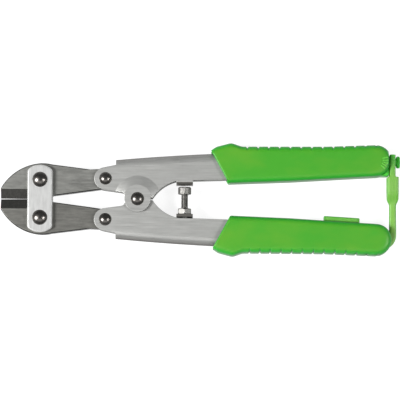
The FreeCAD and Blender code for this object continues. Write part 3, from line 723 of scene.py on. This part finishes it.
def grip_stations(shift):
    """Places along a grip: close together at its rolled ends and at each groove."""
    places = {GRIP_FRONT_X + step for step in END_STEPS}
    places |= {GRIP_END_X - step for step in END_STEPS + ROUND_END_STEPS}
    x = GRIP_FRONT_X + END_STEPS[-1] + STATION_SPACING
    while x < GROOVE_START_X + shift - GAP_BEFORE_GROOVES:
        places.add(x)
        x += STATION_SPACING
    for index in range(GROOVE_COUNT):
        middle_x = GROOVE_START_X + shift + index * GROOVE_PITCH
        for step in GROOVE_STEPS:
            if middle_x + step < GRIP_END_X - GAP_BEFORE_ROUND_END:
                places.add(middle_x + step)
    return sorted(places)


def across_shares(width):
    """Shares of a grip's width from its inner to its outer side, close together at both."""
    inner = [step / width for step in SIDE_STEPS]
    outer = [1 - share for share in reversed(inner)]
    return inner + MIDDLE_SHARES + outer


def grip_ring(x, shift, front_shift, end_limit):
    """The grip's section at one station, as a closed ring of points."""
    outer_y = softened_line(GRIP_OUTER_LINE, x)
    slant = GRIP_FRONT_SLANT * (1 - smooth_step((x - GRIP_FRONT_X) / GRIP_SLANT_LENGTH))
    inner_y = softened_line(GRIP_INNER_LINE, min(x + slant, GRIP_END_X))
    bulge = smooth_step((x - GRIP_BULGE_START_X) / (GRIP_END_X - GRIP_BULGE_START_X)) * GRIP_END_RADIUS
    width = outer_y - inner_y
    front_slope = math.atan2(
        GRIP_FRONT_SLANT, softened_line(GRIP_OUTER_LINE, GRIP_FRONT_X) - GRIP_INNER_FRONT_Y)
    face = []
    for share in across_shares(width):
        y = inner_y + share * width
        sine = min(max(2 * share - 1, -1), 1)
        place_x = x + slant * (1 - share) + bulge * math.sqrt(1 - sine * sine)
        from_outer = outer_y - y
        from_side = min(from_outer, y - inner_y)
        if place_x > GRIP_END_X:
            from_side = min(
                from_side, GRIP_END_RADIUS - math.hypot(place_x - GRIP_END_X, y - GRIP_END_Y))
        from_front = (x - GRIP_FRONT_X) * math.cos(front_slope)
        z = GRIP_HALF - max(rolled_drop(from_side, GRIP_ROLL), rolled_drop(from_front, GRIP_LIP_ROLL))
        carved = GROOVE_DEPTH * groove(place_x, shift) * smooth_step(1 - from_outer / GROOVE_REACH)
        near_front = 1 - smooth_step((x - GRIP_FRONT_X) / FRONT_CORNER_LENGTH)
        shifted = 1 - smooth_step((x - GRIP_FRONT_X) / FRONT_SHIFT_LENGTH)
        place_x += rolled_drop(from_side, FRONT_CORNER) * near_front + front_shift * shifted
        face.append((min(place_x, end_limit), y - carved, z))
    ring = list(face)
    outer = face[-1]
    ring += [(outer[0], outer[1], outer[2] * share) for share in WALL_SHARES]
    ring += [(px, py, -pz) for px, py, pz in reversed(face)]
    inner = face[0]
    ring += [(inner[0], inner[1], inner[2] * -share) for share in WALL_SHARES]
    return ring


def face_length(ring):
    """How many of a ring's points lie on its front face, which is as many as on its back."""
    return (len(ring) - 2 * len(WALL_SHARES)) // 2


def inside_handle(across, z, width):
    """Whether a point of the section lies inside the handle's channel outline."""
    outer_gap = width - across
    inner_gap = across
    half = HANDLE_HALF - HANDLE_FIT
    if abs(z) > half or outer_gap < 0 or inner_gap < 0:
        return False
    corner = HANDLE_BEND if outer_gap < inner_gap else HANDLE_EDGE_ROLL
    gap = min(outer_gap, inner_gap)
    if gap < corner and abs(z) > half - corner:
        return math.hypot(corner - gap, abs(z) - (half - corner)) < corner
    return True


def socket_rings(front_ring):
    """Rings of the socket that the handle sits in, from the grip's front face inwards."""
    start = Vector(front_ring[0])
    end = Vector(front_ring[face_length(front_ring) - 1])
    start.z = 0.0
    end.z = 0.0
    run = (end - start).normalized()
    length = (end - start).length
    low = (along_line(HANDLE_INNER_LINE, start.x) - start.y) / run.y
    high = length - HANDLE_OUTER_WALL / run.y
    width = high - low
    mouth = []
    for place in front_ring:
        point = Vector(place)
        across = (Vector((point.x, point.y, 0)) - start).dot(run)
        direction = Vector((across - (low + high) / 2, point.z))
        near = 0.0
        far = 1.0
        for _ in range(24):
            share = (near + far) / 2
            at = direction * share
            if inside_handle(width / 2 + at.x, at.y, width):
                near = share
            else:
                far = share
        at = direction * near
        spot = start + run * ((low + high) / 2 + at.x)
        mouth.append((spot.x, spot.y, at.y))
    deep = [(px + SOCKET_DEPTH, py, pz * SOCKET_TAPER) for px, py, pz in mouth]
    return deep, mouth


def grip_shell(name, material, turn, shift, front_shift, end_limit):
    """A moulded sleeve: its socket, slanted lip, long faces, rolled edges, grooves and round end."""
    rings = [grip_ring(x, shift, front_shift, end_limit) for x in grip_stations(shift)]
    deep, mouth = socket_rings(rings[0])
    lip = [
        tuple(a * LIP_SHARE + b * (1 - LIP_SHARE) for a, b in zip(inner, outer))
        for inner, outer in zip(mouth, rings[0])]
    rings = [deep, mouth, lip] + rings
    count = len(rings[0])
    points, faces = loft(rings, closed_ends=False)
    faces.append(tuple(range(count)))
    face_count = face_length(rings[0])
    wall_count = len(WALL_SHARES)
    face_start = len(points) - count
    outer_start = face_start + face_count
    back_start = outer_start + wall_count
    inner_start = back_start + face_count
    top = list(range(face_start, outer_start))
    outer_wall = list(range(outer_start, back_start))
    bottom = list(range(inner_start - 1, back_start - 1, -1))
    inner_wall = list(range(inner_start + wall_count - 1, inner_start - 1, -1))
    rows = [top]
    for share, inner_index, outer_index in zip(WALL_SHARES, inner_wall, outer_wall):
        middle_row = [inner_index]
        for index in top[1:-1]:
            px, py, pz = points[index]
            points.append((px, py, pz * share))
            middle_row.append(len(points) - 1)
        middle_row.append(outer_index)
        rows.append(middle_row)
    rows.append(bottom)
    for upper, lower in zip(rows, rows[1:]):
        for index in range(len(upper) - 1):
            faces.append((upper[index], upper[index + 1], lower[index + 1], lower[index]))
    return make_object(name, points, faces, material, turn)


def end_ribs(material):
    """Short raised ribs that fan round the end of the upper grip's face."""
    points, faces = rounded_block(
        (RIB_INNER_RADIUS, -RIB_HALF_WIDTH, RIB_LOW_Z),
        (RIB_OUTER_RADIUS, RIB_HALF_WIDTH, RIB_HIGH_Z), RIB_ROLL)
    ribs = []
    for degrees in RIB_ANGLES:
        cosine = math.cos(math.radians(degrees))
        sine = math.sin(math.radians(degrees))
        fanned = [
            (GRIP_END_X + x * cosine - y * sine, GRIP_END_Y + x * sine + y * cosine, z)
            for x, y, z in points]
        ribs.append(make_object("rib", fanned, faces, material))
    return ribs


def peg_and_lug(material):
    """The lug that closes the upper grip's end, and the peg with its rounded nose."""
    block = make_object(
        "lug", *rounded_block(
            (LUG_START_X, LUG_INNER_Y, -LUG_HALF), (LUG_END_X, LUG_OUTER_Y, LUG_HALF), LUG_ROLL), material)
    neck_profile = [
        (LUG_END_X - PEG_ROOT_DEPTH, PEG_RADIUS + PEG_FLARE),
        (LUG_END_X + PEG_FLARE, PEG_RADIUS),
        (PEG_NOSE_X + PEG_FLARE, PEG_RADIUS)]
    neck = make_object("neck", *lathe(neck_profile, (PEG_Y, 0.0), "X", NECK_SEGMENTS), material)
    nose_profile = []
    length = PEG_TIP_X - PEG_NOSE_X
    steps = 8
    for step in range(steps + 1):
        angle = math.pi * step / steps
        along = PEG_NOSE_X + length / 2 - length / 2 * math.cos(angle)
        size = PEG_NOSE_RADIUS * (PEG_NOSE_EDGE + PEG_NOSE_SWELL * math.sin(angle) ** PEG_NOSE_CURVE)
        nose_profile.append((along, size))
    points, faces = lathe(nose_profile, (PEG_Y, 0.0), "X", NOSE_SEGMENTS)
    flattened = [(x, y, z * PEG_FLATNESS) for x, y, z in points]
    nose = make_object("nose", flattened, faces, material)
    return melt([block, neck, nose], "peg_and_lug", PEG_VOXEL, 3)


def keeper(material, pale):
    """The keeper along the lower grip's inner side: a thin pale block in a darker frame."""
    def follow(points):
        return [(x, y + softened_line(GRIP_INNER_LINE, x), z) for x, y, z in points]

    block_points, block_faces = rounded_block(
        (KEEPER_START_X, -KEEPER_HEIGHT, -KEEPER_HALF),
        (KEEPER_END_X, KEEPER_ROOT, KEEPER_HALF), KEEPER_ROLL)
    window_half = KEEPER_HALF + WINDOW_PROUD
    window_points, window_faces = rounded_block(
        (KEEPER_START_X + KEEPER_FRAME, -KEEPER_HEIGHT + WINDOW_DROP, -window_half),
        (KEEPER_END_X - KEEPER_FRAME, -WINDOW_DEPTH, window_half), WINDOW_ROLL)
    block = make_object("keeper_block", follow(block_points), block_faces, material, turned)
    window = make_object("keeper_window", follow(window_points), window_faces, pale, turned)
    return [block, window]


def make_grips(material, thin, pale):
    upper_sleeve = grip_shell("upper_sleeve", material, same, 0.0, 0.0, LUG_END_X)
    # The lug and peg take the lighter copy of the vinyl, painted light against the grip's shadow.
    upper = join([upper_sleeve, peg_and_lug(thin)] + end_ribs(pale), "upper_grip_vinyl")
    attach(upper, "upper_arm")
    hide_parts("upper_grip")
    lower_sleeve = grip_shell(
        "lower_sleeve", material, turned, LOWER_GROOVE_SHIFT, LOWER_FRONT_SHIFT,
        GRIP_END_X + GRIP_END_RADIUS)
    lower = join([lower_sleeve] + keeper(material, pale), "lower_grip_vinyl")
    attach(lower, "lower_arm")
    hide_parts("lower_grip")


# ---------------------------------------------------------------- strap

def strap_bar():
    """Rings of the bar and finger pad, along a line that bends to the grip at its root."""
    stations = []
    steps = 8
    bend_x = STRAP_X - STRAP_BEND_RADIUS
    for step in range(steps + 1):
        angle = math.radians(STRAP_BEND_DEGREES * (1 - step / steps))
        x = bend_x + STRAP_BEND_RADIUS * math.cos(angle)
        y = STRAP_BEND_Y - STRAP_BEND_RADIUS * math.sin(angle)
        stations.append((x, y, -angle))
    for y in STRAP_BAR_YS + [STRAP_PAD_TOP_Y]:
        stations.append((STRAP_X, y, 0.0))
    rings = []
    for x, y, angle in stations:
        widen = smooth_step((y - STRAP_WIDEN_START_Y) / STRAP_WIDEN_LENGTH)
        thicken = smooth_step((y - STRAP_WIDEN_START_Y) / STRAP_THICKEN_LENGTH)
        half_x = STRAP_BAR_HALF + (STRAP_PAD_HALF - STRAP_BAR_HALF) * widen
        half_z = STRAP_THIN_HALF + (STRAP_THICK_HALF - STRAP_THIN_HALF) * thicken
        ring = rounded_ring(half_x, half_z, STRAP_BAR_ROLL)
        rings.append([
            (x + u * math.cos(angle), y + u * math.sin(angle), v) for u, v in ring])
    return loft(rings)


def strap_leg(side):
    """One side of the loop, from the pad to the top bar."""
    rings = []
    middle_x = STRAP_INNER_X + STRAP_LEG_SHIFT + STRAP_LEG_WIDTH / 2
    middle_z = side * (STRAP_THICK_HALF + STRAP_SLOT_HALF) / 2
    half_z = (STRAP_THICK_HALF - STRAP_SLOT_HALF) / 2
    for y in STRAP_LEG_YS + [STRAP_TOP_Y - 0.1]:
        ring = rounded_ring(STRAP_LEG_WIDTH / 2, half_z, STRAP_LEG_ROLL)
        rings.append([(middle_x + u, y, middle_z + v) for u, v in ring])
    return loft(rings)


def strap_top():
    """The bar that closes the loop, rolled over its top."""
    middle_x = STRAP_INNER_X + STRAP_LEG_SHIFT + STRAP_LEG_WIDTH / 2
    bevel_z = STRAP_THICK_HALF - STRAP_TOP_BEVEL
    rings = []
    for z in (-STRAP_THICK_HALF, -bevel_z, 0.0, bevel_z, STRAP_THICK_HALF):
        shrink = STRAP_TOP_SHRINK if abs(z) == STRAP_THICK_HALF else 1.0
        ring = rounded_ring(STRAP_LEG_WIDTH / 2 * shrink, STRAP_TOP_HALF * shrink, STRAP_LEG_ROLL * shrink)
        rings.append([(middle_x + u, STRAP_TOP_Y - STRAP_TOP_HALF + v, z) for u, v in ring])
    return loft(rings)


def make_strap(material):
    """The elastic strap, its slot cut through the pad, with shallow flutes down the pad."""
    bar = make_object("bar", *strap_bar(), material)
    slot = make_object(
        "slot", *rounded_block(
            (STRAP_X - STRAP_SLOT_CUT_HALF, STRAP_SLOT_START_Y, -STRAP_SLOT_HALF),
            (STRAP_X + STRAP_SLOT_CUT_HALF, STRAP_PAD_TOP_Y + STRAP_SLOT_CUT_RISE, STRAP_SLOT_HALF),
            STRAP_SLOT_ROLL), material)
    cut = bar.modifiers.new("slot", "BOOLEAN")
    cut.operation = "DIFFERENCE"
    cut.object = slot
    settle(bar)
    bpy.data.objects.remove(slot)
    legs = [make_object("leg", *strap_leg(side), material) for side in (-1, 1)]
    strap = melt([bar] + legs + [make_object("top", *strap_top(), material)], "strap_vinyl", STRAP_VOXEL, 4)
    pad_low = at_pivot(0, FLUTE_START_Y, 0).y
    pad_high = at_pivot(0, STRAP_PAD_TOP_Y, 0).y
    for vertex in strap.data.vertices:
        away = (vertex.co.x - CENTRE.x) / MM - STRAP_X
        along = (vertex.co.y - pad_low) / (pad_high - pad_low)
        window = smooth_step(along / FLUTE_FADE_IN) * smooth_step(
            (FLUTE_LAST_SHARE - along) / FLUTE_FADE_OUT)
        facing = smooth_step((abs(vertex.normal.z) - FLUTE_LEAST_FACING) / FLUTE_FACING_RANGE)
        wave = 0.5 - 0.5 * math.cos(2 * math.pi * away / FLUTE_PITCH)
        flute = FLUTE_DEPTH * MM * wave * window * facing
        vertex.co.z -= flute * (1 if vertex.co.z > CENTRE.z else -1)
    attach(strap, "tie")
    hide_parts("strap")


# ---------------------------------------------------------------- screw, nut and rivets

def hexagon_radius(angle, flats):
    """Distance from a hexagon's centre to its side, with a corner at a quarter turn."""
    sector = math.pi / 3
    within = (angle - math.pi / 2) % sector - sector / 2
    return flats / 2 / math.cos(within)


def make_screw(material):
    """A socket head screw: knurled head, hexagon socket and a real thread."""
    def knurled(angle, along):
        return SCREW_HEAD_RADIUS - KNURL_DEPTH * (0.5 - 0.5 * math.cos(angle * KNURL_COUNT))

    def socket(angle, along):
        return hexagon_radius(angle, SOCKET_FLATS)

    head_profile = [
        (SCREW_HEAD_TOP_Y - SOCKET_FLOOR, CLOSING_RADIUS),
        (SCREW_HEAD_TOP_Y - SOCKET_FLOOR, socket),
        (SCREW_HEAD_TOP_Y - 0.02, socket),
        (SCREW_HEAD_TOP_Y, SOCKET_RIM_RADIUS),
        (SCREW_HEAD_TOP_Y, SCREW_HEAD_FACE_RADIUS),
        (SCREW_HEAD_TOP_Y - 0.1, SCREW_HEAD_ROUND_RADIUS),
        (SCREW_HEAD_TOP_Y - 0.4, knurled),
        (SCREW_HEAD_TOP_Y - 0.5, knurled),
        (SCREW_HEAD_BASE_Y + 0.3, knurled),
        (SCREW_HEAD_BASE_Y + 0.2, knurled),
        (SCREW_HEAD_BASE_Y, SCREW_HEAD_BASE_RADIUS),
        (SCREW_HEAD_BASE_Y, CLOSING_RADIUS)]
    head = make_object("head", *lathe(head_profile, (SCREW_X, 0.0), "Y", SCREW_SEGMENTS), material)

    def thread(angle, along):
        """The thread's radius: flat crests and roots, fading into the screw's tapered end."""
        turn = (along / THREAD_PITCH - angle / (2 * math.pi)) % 1.0
        cut = min(max(abs(turn - 0.5) * THREAD_FLANK - THREAD_CREST, 0.0), 1.0)
        fade = smooth_step((along - SCREW_END_Y - SCREW_END_EDGE) / SCREW_TAPER_LENGTH)
        return SCREW_RADIUS - THREAD_DEPTH * cut - SCREW_END_TAPER * (1 - fade)

    rings_per_turn = 8
    steps = int((SCREW_HEAD_BASE_Y - SCREW_END_Y) / THREAD_PITCH * rings_per_turn)
    shank_top = SCREW_HEAD_BASE_Y + 0.1
    shank_profile = [(SCREW_END_Y, CLOSING_RADIUS)]
    for step in range(steps + 1):
        along = SCREW_END_Y + (shank_top - SCREW_END_Y) * step / steps
        shank_profile.append((along, thread))
    shank_profile.append((shank_top, CLOSING_RADIUS))
    shank = make_object(
        "shank", *lathe(shank_profile, (SCREW_X, 0.0), "Y", SHANK_SEGMENTS), material)
    screw = join([head, shank], "stop_screw_threaded")
    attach(screw, "screw")
    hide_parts("stop_screw")


def make_nut(material):
    """A hexagon nut whose corners are chamfered on both faces."""
    def body(angle, along):
        from_face = min(along - NUT_BASE_Y, NUT_TOP_Y - along)
        cone = NUT_FLATS / 2 * NUT_FACE_SHARE + from_face * NUT_CHAMFER_RISE
        return min(hexagon_radius(angle, NUT_FLATS), cone)

    mouth_radius = NUT_BORE + NUT_BORE_CHAMFER
    profile = [(NUT_BASE_Y, mouth_radius), (NUT_BASE_Y, body)]
    for share in NUT_ROWS:
        profile.append((NUT_BASE_Y + share * (NUT_TOP_Y - NUT_BASE_Y), body))
    profile += [
        (NUT_TOP_Y, mouth_radius), (NUT_TOP_Y - NUT_BORE_CHAMFER, NUT_BORE),
        (NUT_BASE_Y + NUT_BORE_CHAMFER, NUT_BORE)]
    points, faces = lathe(profile, (SCREW_X, 0.0), "Y", NUT_SEGMENTS, closed_ends=False)
    last = len(points) - NUT_SEGMENTS
    for index in range(NUT_SEGMENTS):
        after = (index + 1) % NUT_SEGMENTS
        faces.append((last + index, last + after, after, index))
    nut = make_object("lock_nut_chamfered", points, faces, material)
    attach(nut, "lower_arm")
    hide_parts("lock_nut")


def make_rivet(node, material):
    """A turned rivet with a polished domed head, measured from its CAD solid."""
    low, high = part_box(node)
    centre = (low + high) / 2
    body = next(name for name, members in frame["record"]["behaviour"]["bodies"].items() if node in members)
    head = (high.x - low.x) / 2 / MM
    bottom = (low.z - CENTRE.z) / MM
    top = (high.z - CENTRE.z) / MM
    kind = node.split("_")[-2]
    front_height = DOME_HEIGHTS[kind]
    x = (centre.x - CENTRE.x) / MM
    y = centre.y / MM

    def cap(height, steps=12):
        """Heights and radii of a domed head, from its rim to near its top."""
        sphere = (head * head + height * height) / (2 * height)
        widest = math.asin(head / sphere)
        rows = []
        for step in range(steps):
            angle = widest * (1 - step / steps)
            rows.append((height - sphere + sphere * math.cos(angle), sphere * math.sin(angle)))
        rows.append((height, DOME_TOP_RADIUS))
        return rows

    shank = RIVET_SHANKS[kind] - RIVET_PLAY
    rear_base = bottom + REAR_HEAD_HEIGHT
    profile = [(rear_base - rise, radius) for rise, radius in reversed(cap(REAR_HEAD_HEIGHT))]
    profile += [(rear_base, shank), (top - front_height, shank)]
    profile += [(top - front_height + rise, radius) for rise, radius in cap(front_height)]
    rivet = make_object(node + "_turned", *lathe(profile, (x, y), "Z", RIVET_SEGMENTS), material)
    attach(rivet, body)
    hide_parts(node)


# ---------------------------------------------------------------- the tool

def cover(names, material):
    for name in names:
        node = frame["nodes"][name]
        node.data.materials.clear()
        node.data.materials.append(material)


make_floor()
make_camera()
make_lights()

HANDLE_STEEL = handle_steel()
# The plates' side walls and chamfers are painted near white: a painted highlight.
PLATE_STEEL = brushed_steel(
    "plate_steel", (0.45, 0.45, 0.44), (0.56, 0.56, 0.55), (0.85, 0.85, 0.84), metal=0.5, roughness=0.42,
    grain=(1200, 120, 1200), grain_depth=0.015 * MM)[0]
# Its side walls are painted darker: painted shade.
SCREW_STEEL = brushed_steel(
    "screw_steel", (0.15, 0.146, 0.138), (0.25, 0.245, 0.232), (0.08, 0.078, 0.072), metal=0.85,
    roughness=0.36, grain=(900, 900, 900), grain_depth=0.01 * MM)[0]
SPRING_STEEL = brushed_steel(
    "spring_steel", (0.16, 0.16, 0.155), (0.26, 0.26, 0.25), (0.2, 0.2, 0.19), metal=1.0, roughness=0.3,
    grain=(900, 900, 900), grain_depth=0.01 * MM)[0]
UPPER_BLADE_STEEL = blade_steel("upper_blade_steel", (0.175, 0.175, 0.163), (0.255, 0.255, 0.238))
# The lower blade's steel is a darker copy of the upper's: painted shade.
LOWER_BLADE_STEEL_PAINTED_SHADE = blade_steel("lower_blade_steel_painted_shade", (0.130, 0.128, 0.117), (0.195, 0.192, 0.175))
RIVET_STEEL = polished_rivet()
GRIP_VINYL = soft_vinyl(
    "grip_vinyl", face=(0.046, 0.300, 0.014), warm=(0.085, 0.310, 0.016), edge=(0.020, 0.31, 0.022),
    painted_wall_shade=(0.014, 0.18, 0.018), glow=0.30, roughness=0.42)[0]
# A lighter copy of the grip vinyl for the lug and peg: painted light that lifts the shadow the grip's end casts on
# them.
LUG_VINYL_PAINTED_LIGHT = soft_vinyl(
    "grip_vinyl_painted_light", face=(0.038, 0.42, 0.022), warm=(0.055, 0.44, 0.026), edge=(0.034, 0.44, 0.026),
    painted_wall_shade=(0.030, 0.38, 0.026), glow=0.5, roughness=0.42)[0]
PALE_VINYL = soft_vinyl(
    "grip_vinyl_pale", face=(0.110, 0.46, 0.045), warm=(0.130, 0.48, 0.050), edge=(0.090, 0.46, 0.045),
    painted_wall_shade=(0.060, 0.36, 0.035), glow=0.5, roughness=0.42)[0]
STRAP_VINYL = strap_vinyl()

cover(["upper_blade"], UPPER_BLADE_STEEL)
cover(["lower_blade"], LOWER_BLADE_STEEL_PAINTED_SHADE)
cover(["front_link_plate", "rear_link_plate"], PLATE_STEEL)
cover(["upper_handle", "lower_handle"], HANDLE_STEEL)
cover(["centre_spacer"], SCREW_STEEL)
cover(["opening_spring"], SPRING_STEEL)
make_grips(GRIP_VINYL, LUG_VINYL_PAINTED_LIGHT, PALE_VINYL)
make_strap(STRAP_VINYL)
make_screw(SCREW_STEEL)
make_nut(SCREW_STEEL)
for rivet_node in (
        "upper_jaw_rivet", "lower_jaw_rivet", "upper_tail_rivet", "lower_tail_rivet", "centre_rivet"):
    make_rivet(rivet_node, RIVET_STEEL)
